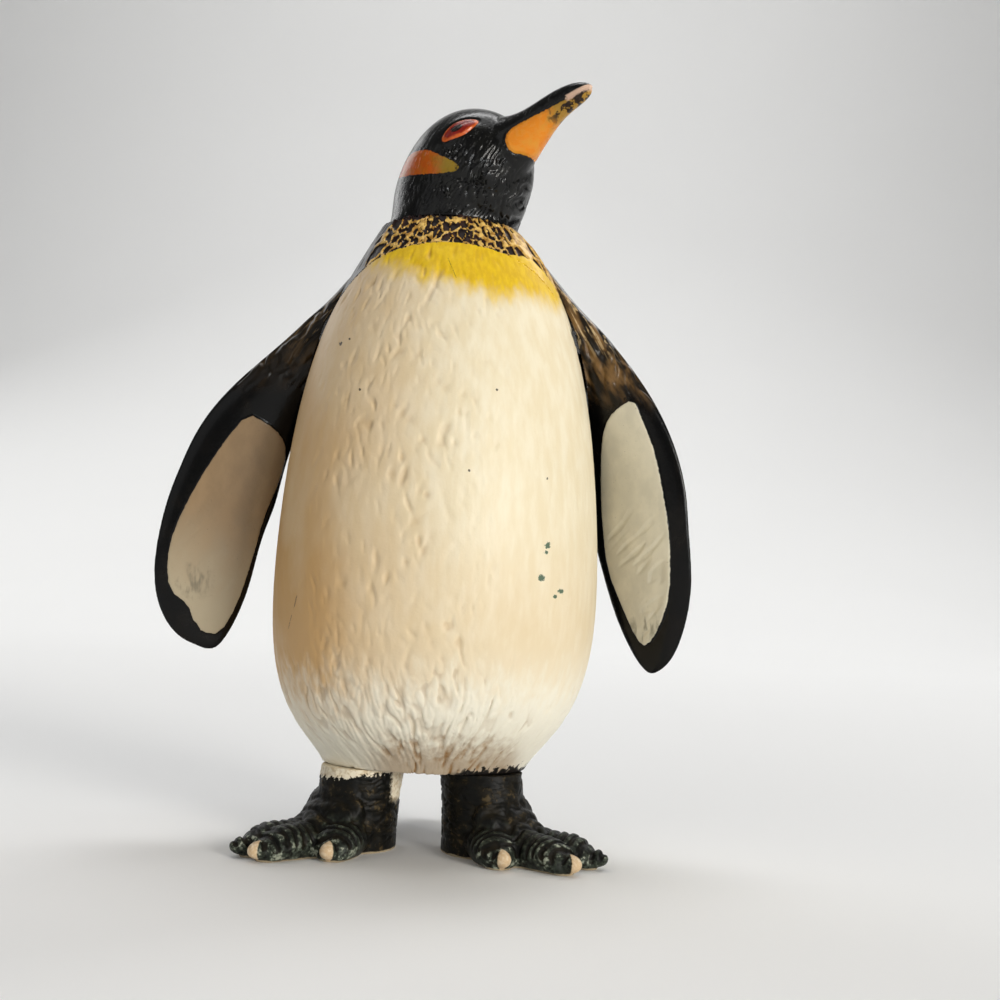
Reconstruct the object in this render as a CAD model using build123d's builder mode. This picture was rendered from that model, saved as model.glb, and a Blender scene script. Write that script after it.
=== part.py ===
from build123d import *
import os
from math import cos, radians, sin, sqrt

os.makedirs("parts", exist_ok=True)

# Lengths are in millimetres. The figure faces -Y, +Z is up, and +X is its own left.

# Place of the body's upright axis; the middle of the whole figure's box is over the origin
body_x = 2.05
body_y = 0.2

# Torso
torso_base = 9.7
torso_height = 67.2
torso_width = 39.8
torso_depth = 39.0
wall = 2.6
# Share of the height, of the half width, of the depth in front of the axis and of the depth behind it,
# and share of the width by which the middle leans to the figure's left
torso_shares = (
    (0.00, 0.63, 0.22, 0.26, -0.012),
    (0.05, 0.75, 0.31, 0.31, -0.011),
    (0.14, 0.92, 0.44, 0.39, -0.005),
    (0.29, 1.00, 0.51, 0.45, 0.000),
    (0.48, 0.98, 0.51, 0.46, 0.000),
    (0.66, 0.91, 0.46, 0.44, 0.000),
    (0.80, 0.80, 0.39, 0.40, 0.002),
    (0.91, 0.65, 0.31, 0.32, 0.004),
    (1.00, 0.45, 0.22, 0.22, -0.014),
)
hip_lean_share = torso_shares[0][-1]

# Seam between belly and back, drawn from the side, from the front of the collar to behind the legs
seam_front_reach_share = 0.46
seam_top_share = 0.961
seam_shoulder_reach_share = 0.01
seam_shoulder_share = 0.941
seam_flank_reach_share = 0.02
seam_flank_share = 0.62
seam_hip_reach_share = 0.17

# Locating pins across the seam
pin_diameter = 1.2
pin_length = 2.4
pin_stations = (3, 4)

# Overrun of cuts past the faces that they open, and the glue line of every peg
overrun = 1.0
glue_gap = 0.1
seat_gap = 0.1

# Tail, a short flat brush at the foot of the back
tail_length = 15.0
tail_width = 14.0
tail_thickness = 9.0
# Share of the length, of the width and of the thickness
tail_shares = (
    (0.00, 1.00, 1.00),
    (0.50, 0.86, 0.60),
    (0.86, 0.62, 0.34),
    (0.97, 0.40, 0.20),
)
tail_slope_angle = 48.0
# Root of the tail, inside the wall, as shares of the torso's depth and height
tail_back_share = 0.24
tail_rise_share = 0.138

# Neck plug and its socket
plug_diameter = 8.6
plug_length = 6.0
key_flat_share = 0.36
socket_wall = 1.8

# Head, in its own frame: turned to the figure's left about the upright neck
head_turn_angle = 48.0
head_height = 15.8
head_width = 16.6
head_depth = 17.6
# Share of the height, of the head's width, of its depth, and how far forward in the depth the middle lies
head_shares = (
    (0.00, 1.00, 0.96, -0.050),
    (0.22, 0.98, 1.02, 0.025),
    (0.42, 0.98, 1.05, 0.075),
    (0.62, 0.91, 0.94, 0.12),
    (0.80, 0.71, 0.75, 0.14),
    (0.92, 0.45, 0.50, 0.13),
    (0.975, 0.25, 0.29, 0.115),
)
crown_forward_share = 0.105

# Face and bill, drawn out of the head along a line that rises to the tip
bill_length = 21.5
bill_width = 6.2
bill_depth = 7.4
bill_root_z = 8.4
bill_rise = 5.8
# Share of the length from the neck axis, of the bill's width, of its depth, and of the rise
bill_shares = (
    (0.16, 1.78, 1.50, -0.02),
    (0.34, 1.50, 1.36, 0.05),
    (0.50, 1.00, 0.97, 0.26),
    (0.66, 0.66, 0.66, 0.62),
    (0.82, 0.46, 0.46, 0.89),
    (0.94, 0.30, 0.29, 0.96),
)

# Eye, an almond that stands a little out of the head, its long axis rising towards the brow
eye_length = 6.0
eye_height = 3.5
eye_forward = 5.75
eye_side = 5.15
eye_z = 9.85
eye_rise_angle = 34.0
eye_turn_angle = 44.0

# Flippers
flipper_length = 55.5
flipper_chord = 13.1
flipper_thickness = 3.4
# Share of the length, of the chord, of the thickness, and of the chord by which the middle bows outwards
left_flipper_shares = (
    (0.00, 0.48, 1.20, 0.015),
    (0.17, 0.70, 2.00, 0.185),
    (0.30, 0.80, 1.70, 0.365),
    (0.42, 0.95, 1.25, 0.450),
    (0.54, 1.06, 1.00, 0.455),
    (0.65, 1.11, 0.90, 0.385),
    (0.765, 1.01, 0.80, 0.315),
    (0.87, 0.83, 0.68, 0.245),
    (0.94, 0.58, 0.55, 0.180),
    (0.98, 0.34, 0.40, 0.130),
)
right_flipper_shares = (
    (0.00, 0.40, 1.20, -0.040),
    (0.17, 0.61, 2.00, 0.105),
    (0.30, 0.70, 1.70, 0.260),
    (0.42, 0.79, 1.25, 0.430),
    (0.54, 0.93, 1.00, 0.485),
    (0.65, 1.01, 0.90, 0.445),
    (0.765, 1.01, 0.80, 0.385),
    (0.87, 0.95, 0.68, 0.285),
    (0.94, 0.78, 0.55, 0.200),
    (0.98, 0.56, 0.40, 0.125),
)
flipper_tip_bow_share = 0.07
# Middle of the shoulder as shares of the torso's width, depth and height
shoulder_out_share = 0.214
shoulder_back_share = 0.04
shoulder_rise_share = 0.957
# Angle that each blade hangs from the upright, and angle that its outer edge is turned to the front
left_flipper_spread_angle = 19.3
left_flipper_turn_angle = 36.0
right_flipper_spread_angle = 22.1
right_flipper_turn_angle = 14.0
tenon_height = 5.0
tenon_thickness = 2.6
# Both ends of the tenon as shares of the torso's width, and its place as shares of the depth and height
tenon_inner_share = 0.289
tenon_outer_share = 0.478
tenon_back_share = 0.056
tenon_rise_share = 0.749

# Legs and feet
# Middle of each leg from the middle of the hips, as shares of the torso's width and depth
leg_out_share = 0.180
leg_front_share = 0.056
leg_width = 9.8
leg_depth = 10.4
peg_diameter = 5.0
peg_length = 6.0
left_foot_splay_angle = 44.5
right_foot_splay_angle = 41.0
instep_width = 9.6
instep_depth = 10.4
instep_z = 4.8
instep_forward = 0.6
sole_width = 9.2
sole_depth = 10.2
toe_width = 5.6
toe_height = 4.8
toe_length = 15.4
# Share of the toe's length, of its width, and of its height
toe_shares = (
    (0.12, 1.16, 1.32),
    (0.48, 1.00, 1.08),
    (0.76, 0.96, 0.88),
    (0.92, 0.72, 0.62),
    (0.98, 0.36, 0.36),
)
toe_sink_share = 0.12
# Angle of each toe from its foot's own line, outer side positive, and share of the middle toe's length
left_toe_angles = (-28.0, 0.0, 19.0)
right_toe_angles = (-28.0, 0.0, 12.0)
toe_length_shares = (0.68, 1.0, 1.02)
claw_length = 1.2
claw_width = 2.2
claw_height = 2.0
claw_lift_share = 0.64
# Share of the claw's length past the toe, and of its width and height
claw_shares = (
    (-1.00, 1.00),
    (0.30, 0.90),
    (0.80, 0.55),
)
web_height = 1.9
web_reach_share = 0.80


def along(direction_angle, distance):
    """Point on the floor at a distance from the origin, angle measured from the front towards +X."""
    return (distance * sin(radians(direction_angle)), -distance * cos(radians(direction_angle)))


def torso_form(growth):
    """The torso as one solid, with every face moved outwards by the growth."""
    base = torso_base - growth
    height = torso_height + 2 * growth
    with BuildPart() as form:
        for height_share, width_share, front_share, back_share, lean_share in torso_shares:
            half_width = width_share * torso_width / 2 + growth
            half_depth = (front_share + back_share) * torso_depth / 2 + growth
            middle_y = body_y + (back_share - front_share) * torso_depth / 2
            with BuildSketch(Plane.XY.offset(base + height_share * height)):
                with Locations((body_x + lean_share * torso_width, middle_y)):
                    Ellipse(half_width, half_depth)
        loft()
    return form.part


def seam_line():
    """Side view of the seam, from the front of the collar to the hips, as a curve in the YZ plane."""
    top_z = torso_base + seam_top_share * torso_height
    shoulder_z = torso_base + seam_shoulder_share * torso_height
    flank_z = torso_base + seam_flank_share * torso_height
    return Bezier(
        (body_y - seam_front_reach_share * torso_depth, top_z),
        (body_y + seam_shoulder_reach_share * torso_depth, shoulder_z),
        (body_y + seam_flank_reach_share * torso_depth, flank_z),
        (body_y + seam_hip_reach_share * torso_depth, torso_base - overrun),
    )


def front_block():
    """All the space in front of the seam, as a solid that spans the torso's width."""
    with BuildPart() as block:
        with BuildSketch(Plane.YZ):
            with BuildLine():
                line = seam_line()
                front_y = body_y - torso_depth
                Polyline(line @ 1, (front_y, torso_base - overrun), (front_y, (line @ 0).Y), line @ 0)
            make_face()
        extrude(amount=torso_width, both=True)
    return block.part


def keyed_outline(diameter, clearance):
    """Round outline with one flat, which keys a peg to its socket."""
    radius = diameter / 2 + clearance
    flat_y = key_flat_share * diameter + clearance
    Circle(radius)
    with Locations((0, flat_y + radius)):
        Rectangle(2 * radius, 2 * radius, mode=Mode.SUBTRACT)


def tenon_bar(side, clearance, inner_x, outer_x):
    """Upright oval bar through one shoulder, from an inner to an outer distance from the body's axis."""
    tenon_y = body_y + tenon_back_share * torso_depth
    tenon_z = torso_base + tenon_rise_share * torso_height
    with BuildPart() as bar:
        with BuildSketch(Plane.YZ.offset(body_x + side * inner_x)):
            with Locations((tenon_y, tenon_z)):
                SlotOverall(tenon_height + 2 * clearance, tenon_thickness + 2 * clearance, rotation=90)
        extrude(amount=side * (outer_x - inner_x))
    return bar.part


def seam_spots():
    """Points on the seam in the middle of the wall, on both sides, at the stations that carry pins."""
    spots = []
    for station in pin_stations:
        height_share, width_share, front_share, back_share, lean_share = torso_shares[station]
        z = torso_base + height_share * torso_height
        y = seam_line().find_intersection_points(Axis((0, z, 0), (1, 0, 0)))[0].X
        half_width = width_share * torso_width / 2 - wall / 2
        half_depth = (front_share + back_share) * torso_depth / 2 - wall / 2
        middle_y = body_y + (back_share - front_share) * torso_depth / 2
        reach = half_width * sqrt(1 - ((y - middle_y) / half_depth) ** 2)
        middle_x = body_x + lean_share * torso_width
        spots += [(middle_x - reach, y, z), (middle_x + reach, y, z)]
    return spots


def seam_pins(clearance):
    """The locating pins as one part, grown by a clearance at the side and at the front end."""
    with BuildPart() as pins:
        for x, y, z in seam_spots():
            with BuildSketch(Plane((x, y + pin_length, z), x_dir=(1, 0, 0), z_dir=(0, -1, 0))):
                Circle(pin_diameter / 2 + clearance)
        extrude(amount=2 * pin_length + clearance)
    return pins.part


def flipper_form(side, shares, spread_angle, turn_angle):
    """One flipper's blade, hung from the shoulder with its thick outer edge turned towards the front."""
    down = Vector(side * sin(radians(spread_angle)), 0, -cos(radians(spread_angle)))
    outward = Vector(side * cos(radians(spread_angle)), 0, sin(radians(spread_angle)))
    shoulder = (
        body_x + side * shoulder_out_share * torso_width,
        body_y + shoulder_back_share * torso_depth,
        torso_base + shoulder_rise_share * torso_height,
    )
    frame = Plane(shoulder, x_dir=outward, z_dir=down)
    rings = []
    for place_share, chord_share, thickness_share, bow_share in shares:
        half_chord = chord_share * flipper_chord / 2
        half_thickness = thickness_share * flipper_thickness / 2
        bow = bow_share * flipper_chord
        with BuildSketch(frame.offset(place_share * flipper_length), mode=Mode.PRIVATE) as ring:
            with Locations((bow, 0)):
                Ellipse(half_chord, half_thickness, rotation=side * turn_angle)
        rings.append(ring.sketch)
    tip = frame.from_local_coords(Vector(flipper_tip_bow_share * flipper_chord, 0, flipper_length))
    with BuildPart() as blade:
        loft(rings + [Vertex(tip)])
        add(torso_seat, mode=Mode.SUBTRACT)
    return blade.part.solids().sort_by(SortBy.VOLUME)[-1]


def oval(frame, reach, height, width, depth):
    """Upright oval across a frame's forward line, at a reach along that line and a height above it."""
    middle = frame.from_local_coords(Vector(0, -reach, height))
    with BuildSketch(Plane(middle, x_dir=frame.x_dir, z_dir=-frame.y_dir), mode=Mode.PRIVATE) as ring:
        Ellipse(width / 2, depth / 2)
    return ring.sketch


def toe_form(foot_frame, angle, length):
    """One toe with its claw, lying along the floor at an angle from the foot's own line."""
    toe_frame = foot_frame.rotated((0, 0, angle))
    rings = []
    for place_share, width_share, height_share in toe_shares:
        height = height_share * toe_height
        lift = height * (1 / 2 - toe_sink_share)
        rings.append(oval(toe_frame, place_share * length, lift, width_share * toe_width, height))
    claw_lift = claw_lift_share * claw_height
    nails = []
    for place_share, girth_share in claw_shares:
        reach = length + place_share * claw_length
        nails.append(oval(toe_frame, reach, claw_lift, girth_share * claw_width, girth_share * claw_height))
    tip = toe_frame.from_local_coords(Vector(0, -length, claw_lift))
    claw_tip = toe_frame.from_local_coords(Vector(0, -length - claw_length, claw_lift))
    with BuildPart() as toe:
        loft(rings + [Vertex(tip)])
        loft(nails + [Vertex(claw_tip)])
    return toe.part


def foot_form(side, splay_angle, toe_angles):
    """One foot with its ankle, toes, claws, web and keyed peg."""
    ankle = Vector(hip_x + side * leg_x, leg_y, 0)
    foot_frame = Plane(ankle, x_dir=(1, 0, 0), z_dir=(0, 0, 1)).rotated((0, 0, side * splay_angle))
    toes = [
        toe_form(foot_frame, side * angle, length_share * toe_length)
        for angle, length_share in zip(toe_angles, toe_length_shares)
    ]
    leg_sections = (
        (torso_base, leg_width, leg_depth, 0),
        (instep_z, instep_width, instep_depth, instep_forward),
        (0, sole_width, sole_depth, instep_forward),
    )
    web_points = [Vector(0, 0)]
    for angle, length_share in zip(toe_angles, toe_length_shares):
        x, y = along(side * angle, web_reach_share * length_share * toe_length)
        web_points.append(Vector(x, y))
    with BuildPart() as foot:
        for height, width, depth, forward in leg_sections:
            with BuildSketch(foot_frame.offset(height)):
                with Locations((0, -forward)):
                    Ellipse(width / 2, depth / 2)
        loft()
        for toe in toes:
            add(toe)
        with BuildSketch(foot_frame):
            Polygon(*web_points, align=None)
        extrude(amount=web_height)
        split(bisect_by=Plane.XY, keep=Keep.TOP)
        with BuildSketch(Plane.XY.offset(torso_base)):
            with Locations((ankle.X, ankle.Y)):
                keyed_outline(peg_diameter, 0)
        extrude(amount=peg_length)
    return foot.part


torso_skin = torso_form(0)
torso_cavity = torso_form(-wall)
torso_seat = torso_form(seat_gap)
front_space = front_block()
neck_z = torso_base + torso_height
hip_x = body_x + hip_lean_share * torso_width
leg_x = leg_out_share * torso_width
leg_y = body_y - leg_front_share * torso_depth
tenon_inner_x = tenon_inner_share * torso_width
tenon_outer_x = tenon_outer_share * torso_width
locating_pins = seam_pins(0)
seam_pin_holes = seam_pins(glue_gap)

with BuildPart() as leg_sockets:
    with BuildSketch(Plane.XY.offset(torso_base)):
        with Locations((hip_x - leg_x, leg_y), (hip_x + leg_x, leg_y)):
            Circle(peg_diameter / 2 + glue_gap + socket_wall)
    extrude(amount=peg_length + glue_gap + socket_wall)
    add(torso_skin, mode=Mode.INTERSECT)

with BuildPart() as belly_shell:
    add(torso_skin)
    add(torso_cavity, mode=Mode.SUBTRACT)
    add(front_space, mode=Mode.INTERSECT)
    add(leg_sockets.part)
    with BuildSketch(Plane.XY.offset(torso_base)):
        with Locations((hip_x - leg_x, leg_y), (hip_x + leg_x, leg_y)):
            keyed_outline(peg_diameter, glue_gap)
    extrude(amount=peg_length + glue_gap, mode=Mode.SUBTRACT)
    add(seam_pin_holes, mode=Mode.SUBTRACT)
belly_shell.part.label = "belly_shell"
export_step(belly_shell.part, "parts/belly_shell.step")

tail_frame = Plane(
    (body_x, body_y + tail_back_share * torso_depth, torso_base + tail_rise_share * torso_height),
    x_dir=(1, 0, 0),
    z_dir=(0, cos(radians(tail_slope_angle)), -sin(radians(tail_slope_angle))),
)
with BuildPart() as tail:
    for place_share, width_share, thickness_share in tail_shares:
        with BuildSketch(tail_frame.offset(place_share * tail_length)):
            Ellipse(width_share * tail_width / 2, thickness_share * tail_thickness / 2)
    loft()

socket_inner_x = tenon_inner_x - glue_gap - socket_wall
shoulder_sockets = [
    tenon_bar(side, glue_gap + socket_wall, socket_inner_x, torso_width) & torso_skin for side in (-1, 1)
]
shoulder_holes = [tenon_bar(side, glue_gap, tenon_inner_x - glue_gap, torso_width) for side in (-1, 1)]

with BuildPart() as back_shell:
    add(torso_skin)
    add(tail.part)
    add(torso_cavity, mode=Mode.SUBTRACT)
    for socket in shoulder_sockets:
        add(socket)
    add(front_space, mode=Mode.SUBTRACT)
    add(locating_pins)
    with BuildSketch(Plane.XY.offset(neck_z)):
        with Locations((body_x, body_y)):
            Circle(plug_diameter / 2 + glue_gap + socket_wall)
    extrude(amount=-(plug_length + glue_gap + socket_wall))
    with BuildSketch(Plane.XY.offset(neck_z)):
        with Locations((body_x, body_y)):
            keyed_outline(plug_diameter, glue_gap)
    extrude(amount=-(plug_length + glue_gap), mode=Mode.SUBTRACT)
    for hole in shoulder_holes:
        add(hole, mode=Mode.SUBTRACT)
back_shell.part.label = "back_shell"
export_step(back_shell.part, "parts/back_shell.step")

upright_frame = Plane((body_x, body_y, neck_z), x_dir=(1, 0, 0), z_dir=(0, 0, 1))
head_frame = upright_frame.rotated((0, 0, head_turn_angle))
skull_rings = []
for height_share, width_share, depth_share, forward_share in head_shares:
    with BuildSketch(head_frame.offset(height_share * head_height), mode=Mode.PRIVATE) as ring:
        with Locations((0, -forward_share * head_depth)):
            Ellipse(width_share * head_width / 2, depth_share * head_depth / 2)
    skull_rings.append(ring.sketch)
crown = head_frame.from_local_coords(Vector(0, -crown_forward_share * head_depth, head_height))
bill_rings = []
for reach_share, width_share, depth_share, rise_share in bill_shares:
    reach = reach_share * bill_length
    lift = bill_root_z + rise_share * bill_rise
    bill_rings.append(oval(head_frame, reach, lift, width_share * bill_width, depth_share * bill_depth))
bill_tip = head_frame.from_local_coords(Vector(0, -bill_length, bill_root_z + bill_rise))


def eye_line(side):
    """Direction of one eye's long axis, from its back corner up and in towards the brow."""
    forward_part = head_frame.y_dir * -cos(radians(eye_turn_angle))
    inward_part = head_frame.x_dir * -side * sin(radians(eye_turn_angle))
    level = forward_part + inward_part
    return level * cos(radians(eye_rise_angle)) + head_frame.z_dir * sin(radians(eye_rise_angle))


with BuildPart() as head:
    loft(skull_rings + [Vertex(crown)])
    loft(bill_rings + [Vertex(bill_tip)])
    for side in (-1, 1):
        eye_middle = head_frame.from_local_coords(Vector(side * eye_side, -eye_forward, eye_z))
        across = eye_line(side).cross(head_frame.z_dir)
        with BuildSketch(Plane(eye_middle, x_dir=eye_line(side), z_dir=across)):
            Ellipse(eye_length / 2, eye_height / 2)
            with Locations((0, -eye_height / 2)):
                Rectangle(eye_length, eye_height, mode=Mode.SUBTRACT)
        revolve(axis=Axis(eye_middle, eye_line(side)))
    with BuildSketch(Plane.XY.offset(neck_z)):
        with Locations((body_x, body_y)):
            keyed_outline(plug_diameter, 0)
    extrude(amount=-plug_length)
head.part.label = "head"
export_step(head.part, "parts/head.step")

with BuildPart() as left_flipper:
    add(flipper_form(1, left_flipper_shares, left_flipper_spread_angle, left_flipper_turn_angle))
    add(tenon_bar(1, 0, tenon_inner_x, tenon_outer_x))
left_flipper.part.label = "left_flipper"
export_step(left_flipper.part, "parts/left_flipper.step")

with BuildPart() as right_flipper:
    add(flipper_form(-1, right_flipper_shares, right_flipper_spread_angle, right_flipper_turn_angle))
    add(tenon_bar(-1, 0, tenon_inner_x, tenon_outer_x))
right_flipper.part.label = "right_flipper"
export_step(right_flipper.part, "parts/right_flipper.step")

with BuildPart() as left_foot:
    add(foot_form(1, left_foot_splay_angle, left_toe_angles))
left_foot.part.label = "left_foot"
export_step(left_foot.part, "parts/left_foot.step")

with BuildPart() as right_foot:
    add(foot_form(-1, right_foot_splay_angle, right_toe_angles))
right_foot.part.label = "right_foot"
export_step(right_foot.part, "parts/right_foot.step")
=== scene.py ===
import bpy
from math import atan2, cos, exp, hypot, pi, radians, sin
from mathutils import Matrix, Vector, kdtree, noise


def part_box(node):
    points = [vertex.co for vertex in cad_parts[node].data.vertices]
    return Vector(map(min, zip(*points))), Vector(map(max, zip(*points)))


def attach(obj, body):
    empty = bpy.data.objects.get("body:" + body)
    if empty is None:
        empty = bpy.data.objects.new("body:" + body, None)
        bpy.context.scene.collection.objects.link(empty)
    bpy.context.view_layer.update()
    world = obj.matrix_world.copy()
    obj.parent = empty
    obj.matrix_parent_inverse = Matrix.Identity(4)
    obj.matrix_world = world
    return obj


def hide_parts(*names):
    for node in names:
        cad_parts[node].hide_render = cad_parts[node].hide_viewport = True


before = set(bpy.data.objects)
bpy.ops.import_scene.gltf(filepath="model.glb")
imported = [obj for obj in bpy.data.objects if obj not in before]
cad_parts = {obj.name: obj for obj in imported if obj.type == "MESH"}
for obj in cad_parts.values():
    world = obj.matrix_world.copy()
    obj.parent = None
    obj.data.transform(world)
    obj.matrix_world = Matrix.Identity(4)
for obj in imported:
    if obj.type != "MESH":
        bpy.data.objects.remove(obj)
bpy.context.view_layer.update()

# lengths are in mm up to the mesh itself, which is in metres
mm = 0.001
figure = {
    "axis": Vector((2.05, 0.2)),              # upright line through the body: x, y
    "middle": Vector((2.05, 0.2, 40.0)),
    "bodyRadius": 18.0,
    "outward": 0.15,                          # how far a face must look away from the middle to be outside
    "wander": ((1.2, (7, 11, 11.0)), (0.35, (2.2, 4, 5.0))),  # sideways drift of the strokes: size, pattern
    "neckZ": 76.9,
    "headTurn": radians(48),
    "seam": ((-17.74, 74.28), (0.59, 72.94), (0.98, 51.36), (6.83, 8.7)),  # its curve from the side: y, z
    "seamSteps": 1200,
    "seamSnap": 0.15,                         # corners this near the seam are moved onto it
    "seamKeep": 0.5,                          # the last thinning leaves faces this near it
    "seamCalm": (0.05, 0.3),                  # carving sets in between these distances
    "tailFrom": 14.5, "tailTop": 16.0,        # y, z
    "skin": 0.02,                             # least depth of the carving on body, head and flippers
    "weld": 0.002, "smoothing": 0.5,
    "sharpFrom": radians(55),
    "mostTriangles": 196000,
    "coarse": 1.0,
}


# small tools

def ease(low, high, value):  # 0 below low, 1 above high, and falling if high is the smaller
    t = min(max((value - low) / (high - low), 0.0), 1.0)
    return t * t * (3 - 2 * t)


def atLeast(least, share):  # lifts a share so that it never falls below least
    return least + (1 - least) * share


def mixed(first, second, share):
    return first + (second - first) * share


def furrow(value, wide):  # 1 where value is 0, falling to 0 at this width on both sides
    return 1 - ease(0.0, wide, abs(value))


def grain(a, b, pattern):  # a pattern is its size along a, its size along b, and a seed
    wide, long, seed = pattern
    return noise.noise((a / wide, b / long, seed))


def cellEdge(a, b, pattern):  # 0 on the border between two cells, growing into each cell
    wide, long, seed = pattern
    gaps = noise.voronoi((a / wide, b / long, seed))[0]
    return gaps[1] - gaps[0]


def pickOnly(piece):
    bpy.ops.object.select_all(action="DESELECT")
    piece.select_set(True)
    bpy.context.view_layer.objects.active = piece


def modify(piece, kind, **settings):  # adds a modifier and applies it
    pickOnly(piece)
    modifier = piece.modifiers.new(kind.lower(), kind)
    for name, value in settings.items():
        setattr(modifier, name, value)
    bpy.ops.object.modifier_apply(modifier=modifier.name)


def triangles(piece):
    return sum(len(p.vertices) - 2 for p in piece.data.polygons)


def rounded(outline):  # cuts each corner of a closed outline once
    soft = []
    for i, (x, y) in enumerate(outline):
        nx, ny = outline[(i + 1) % len(outline)]
        for share in (0.25, 0.75):
            soft.append(((1 - share) * x + share * nx, (1 - share) * y + share * ny))
    return soft


def insideBy(x, y, outline):  # distance to the outline, positive inside it
    best, inside = float("inf"), False
    ax, ay = outline[-1]
    for bx, by in outline:
        ex, ey = bx - ax, by - ay
        t = min(max(((x - ax) * ex + (y - ay) * ey) / (ex * ex + ey * ey), 0.0), 1.0)
        best = min(best, (x - ax - t * ex) ** 2 + (y - ay - t * ey) ** 2)
        if (ay > y) != (by > y) and x < ax + (y - ay) / (by - ay) * ex:
            inside = not inside
        ax, ay = bx, by
    return best ** 0.5 if inside else -best ** 0.5


def seamPoint(t):
    a, b, c, d = [Vector(p) for p in figure["seam"]]
    return a * (1 - t) ** 3 + b * 3 * t * (1 - t) ** 2 + c * 3 * t * t * (1 - t) + d * t ** 3


seamTree = kdtree.KDTree(figure["seamSteps"] + 1)
for step in range(figure["seamSteps"] + 1):
    point = seamPoint(step / figure["seamSteps"])
    seamTree.insert((0, point.x, point.y), step)
seamTree.balance()


def seamGap(co):
    return seamTree.find((0, co.y, co.z))[2]


def skinOf(node, name, look):  # even copy of a CAD node, with finer faces across the strokes than along them
    piece = bpy.data.objects.new(name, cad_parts[node].data.copy())
    bpy.context.scene.collection.objects.link(piece)
    piece.data.materials.clear()
    pickOnly(piece)
    bpy.ops.object.mode_set(mode="EDIT")
    bpy.ops.mesh.select_all(action="SELECT")
    bpy.ops.mesh.remove_doubles(threshold=figure["weld"] * mm)
    bpy.ops.object.mode_set(mode="OBJECT")
    piece.data.transform(Matrix.Diagonal((1, 1, 1 / look["stretch"], 1)))
    modify(piece, "REMESH", mode="VOXEL", voxel_size=look["face"] * mm * figure["coarse"])
    piece.data.transform(Matrix.Diagonal((1, 1, look["stretch"], 1)))
    modify(piece, "SMOOTH", factor=figure["smoothing"], iterations=look["soften"])
    return piece


def snapSeam(piece, node):  # back onto the CAD surface, and the voxel steps along the seam onto its curve
    modify(piece, "SHRINKWRAP", target=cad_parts[node])
    for v in piece.data.vertices:
        spot, index, gap = seamTree.find((0, v.co.y / mm, v.co.z / mm))
        if gap < figure["seamSnap"]:
            v.co.yz = spot.yz * mm


def thin(piece, isFree, ratio):  # fewer faces, taken only where isFree says so
    free = piece.vertex_groups.new(name="free")
    free.add([v.index for v in piece.data.vertices if isFree(v)], 1.0, "REPLACE")
    modify(piece, "DECIMATE", ratio=ratio, vertex_group=free.name)
    piece.vertex_groups.clear()


def relax(piece, weightAt, turns):  # smooths one place
    group = piece.vertex_groups.new(name="relax")
    for v in piece.data.vertices:
        weight = weightAt(v.co / mm)
        if weight > 0.02:
            group.add([v.index], weight, "REPLACE")
    modify(piece, "SMOOTH", factor=figure["smoothing"], iterations=turns, vertex_group=group.name)
    piece.vertex_groups.clear()


def carve(piece, node, shape):  # shape gives the depth of a point, and the values that the paint reads
    low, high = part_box(node)
    places, named = [], {}
    for v in piece.data.vertices:
        depth, values = shape(v.co / mm, v.normal)
        places.append(v.co - v.normal * depth * mm)
        for name, value in values.items():
            named.setdefault(name, []).append(value)
    flat = []
    for place in places:
        flat += [min(max(place[i], low[i]), high[i]) for i in range(3)]
    piece.data.vertices.foreach_set("co", flat)
    for name, column in named.items():
        piece.data.attributes.new(name, "FLOAT", "POINT").data.foreach_set("value", column)
    piece.data.update()


def finishPiece(piece, node, material):
    pickOnly(piece)
    bpy.ops.object.shade_smooth()
    bpy.ops.object.mode_set(mode="EDIT")
    bpy.ops.mesh.select_all(action="DESELECT")
    bpy.ops.mesh.edges_select_sharp(sharpness=figure["sharpFrom"])
    bpy.ops.mesh.mark_sharp()
    bpy.ops.object.mode_set(mode="OBJECT")
    piece.data.materials.append(material)
    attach(piece, "root")
    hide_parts(node)
    print(piece.name, "carved and painted,", triangles(piece), "triangles")


# paint

class Wire:  # a shader socket that can stand in a sum
    def __init__(self, finish, socket):
        self.finish, self.socket = finish, socket

    def sum(self, operation, first, second):
        return self.finish.add("Math", {"operation": operation}, {0: first, 1: second})

    def __add__(self, other):
        return self.sum("ADD", self, other)

    def __sub__(self, other):
        return self.sum("SUBTRACT", self, other)

    def __rsub__(self, other):
        return self.sum("SUBTRACT", other, self)

    def __mul__(self, other):
        return self.sum("MULTIPLY", self, other)

    def __truediv__(self, other):
        return self.sum("DIVIDE", self, other)

    __radd__ = __add__
    __rmul__ = __mul__


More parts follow.
